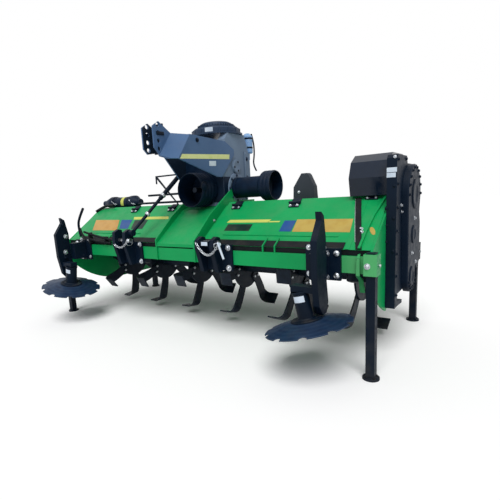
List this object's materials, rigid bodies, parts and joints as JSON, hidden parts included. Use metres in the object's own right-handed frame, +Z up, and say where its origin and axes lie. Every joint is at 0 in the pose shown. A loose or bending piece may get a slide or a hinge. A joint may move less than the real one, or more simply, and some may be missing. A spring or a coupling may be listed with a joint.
{
  "type": "rotary tiller",
  "caption": "Tractor-mounted rotary tiller with side gear drive, bladed rotor under a hood, notched coulter discs, hinged rear board and parking stands.",
  "frame": {"origin": "middle of the splined end of the power take-off input shaft", "axes": "+X along the main beam, +Y backwards away from the tractor, +Z up"},
  "size_m": [3.188, 1.638, 1.7123],
  "materials": {
    "black_paint": "satin",
    "black_plastic": "matte",
    "blue_grey_paint": "gloss",
    "bright_steel": "brushed",
    "dark_steel": "satin",
    "green_paint": "gloss",
    "grey_casting": "satin",
    "oil_can": "gloss"
  },
  "bodies": {
    "frame": {"board_hinge_pin": "black_paint", "board_post": "black_paint", "centre_apron": "green_paint", "centre_plate_left": "green_paint", "centre_plate_right": "green_paint", "clutch_guard": "black_paint", "cooling_dome": "grey_casting", "cover_drive_end": "green_paint", "cover_edge_strips": "black_paint", "cover_left": "green_paint", "cover_legs": "green_paint", "cover_right": "green_paint", "disc_arm_left": "black_paint", "disc_arm_right": "black_paint", "disc_carrier_left": "black_paint", "disc_carrier_right": "black_paint", "disc_clamp_left": "black_paint", "disc_clamp_right": "black_paint", "drive_shaft": "black_plastic", "end_plate_left": "green_paint", "end_plate_right": "green_paint", "front_beam": "green_paint", "gearbox": "grey_casting", "gearbox_base": "black_paint", "gearcase": "black_paint", "gearcase_lid": "black_paint", "headstock_brace": "blue_grey_paint", "headstock_left": "blue_grey_paint", "headstock_right": "blue_grey_paint", "hose_rack": "black_paint", "lower_hitch_left": "black_paint", "lower_hitch_right": "black_paint", "lower_pin_left": "bright_steel", "lower_pin_right": "bright_steel", "oil_canister": "oil_can", "pto_guard": "black_plastic", "rear_guard": "black_paint", "rotor_bearing": "black_paint", "rotor_hood": "green_paint", "side_guard": "black_plastic", "stand_socket_front_left": "green_paint", "stand_socket_front_right": "green_paint", "stand_socket_rear_left": "green_paint", "stand_socket_rear_right": "green_paint"},
    "rotor": {"rotor_tube": "black_paint", "rotor_flanges": "black_paint", "rotor_blades": "black_paint"},
    "coulter_left": {"coulter_disc_left": "dark_steel", "disc_hub_left": "black_paint"},
    "coulter_right": {"coulter_disc_right": "dark_steel", "disc_hub_right": "black_paint"},
    "rear_board": {"rear_board": "green_paint"},
    "stand_front_left": {"stand_front_left": "black_paint"},
    "stand_front_right": {"stand_front_right": "black_paint"},
    "stand_rear_left": {"stand_rear_left": "black_paint"},
    "stand_rear_right": {"stand_rear_right": "black_paint"},
    "pto_input_shaft": {"pto_input_shaft": "bright_steel"},
    "side_output_shaft": {"side_output_shaft": "bright_steel"},
    "side_input_shaft": {"side_input_shaft": "bright_steel"}
  },
  "joints": [
    {"name": "rotor_spin", "type": "hinge", "parent": "frame", "child": "rotor", "pos_m": [0, 0.22, -0.655], "axis": [1, 0, 0], "continuous": true},
    {"name": "coulter_left_spin", "type": "hinge", "parent": "frame", "child": "coulter_left", "pos_m": [-1.205, -0.535, -0.79], "axis": [0.225, 0, 0.9744], "continuous": true},
    {"name": "coulter_right_spin", "type": "hinge", "parent": "frame", "child": "coulter_right", "pos_m": [1.205, -0.535, -0.79], "axis": [-0.225, 0, 0.9744], "continuous": true},
    {"name": "rear_board_hinge", "type": "hinge", "parent": "frame", "child": "rear_board", "pos_m": [0, 0.678, -0.364], "axis": [1, 0, 0], "range_deg": [-8, 45]},
    {"name": "pto_input_spin", "type": "hinge", "parent": "frame", "child": "pto_input_shaft", "pos_m": [0, 0, 0], "axis": [0, 1, 0], "continuous": true},
    {"name": "side_output_spin", "type": "hinge", "parent": "frame", "child": "side_output_shaft", "pos_m": [0.3, 0.27, 0], "axis": [1, 0, 0], "continuous": true},
    {"name": "side_input_spin", "type": "hinge", "parent": "frame", "child": "side_input_shaft", "pos_m": [1.4, 0.27, 0], "axis": [1, 0, 0], "continuous": true},
    {"name": "stand_front_left_slide", "type": "slide", "parent": "frame", "child": "stand_front_left", "axis": [0, 0, 1], "range_m": [0, 0.45]},
    {"name": "stand_front_right_slide", "type": "slide", "parent": "frame", "child": "stand_front_right", "axis": [0, 0, 1], "range_m": [0, 0.45]},
    {"name": "stand_rear_left_slide", "type": "slide", "parent": "frame", "child": "stand_rear_left", "axis": [0, 0, 1], "range_m": [0, 0.45]},
    {"name": "stand_rear_right_slide", "type": "slide", "parent": "frame", "child": "stand_rear_right", "axis": [0, 0, 1], "range_m": [0, 0.45]}
  ],
  "couplings": [
    {"joint": "side_output_spin", "follows": "pto_input_spin", "ratio": -1},
    {"joint": "side_input_spin", "follows": "rotor_spin", "ratio": 2.4}
  ]
}
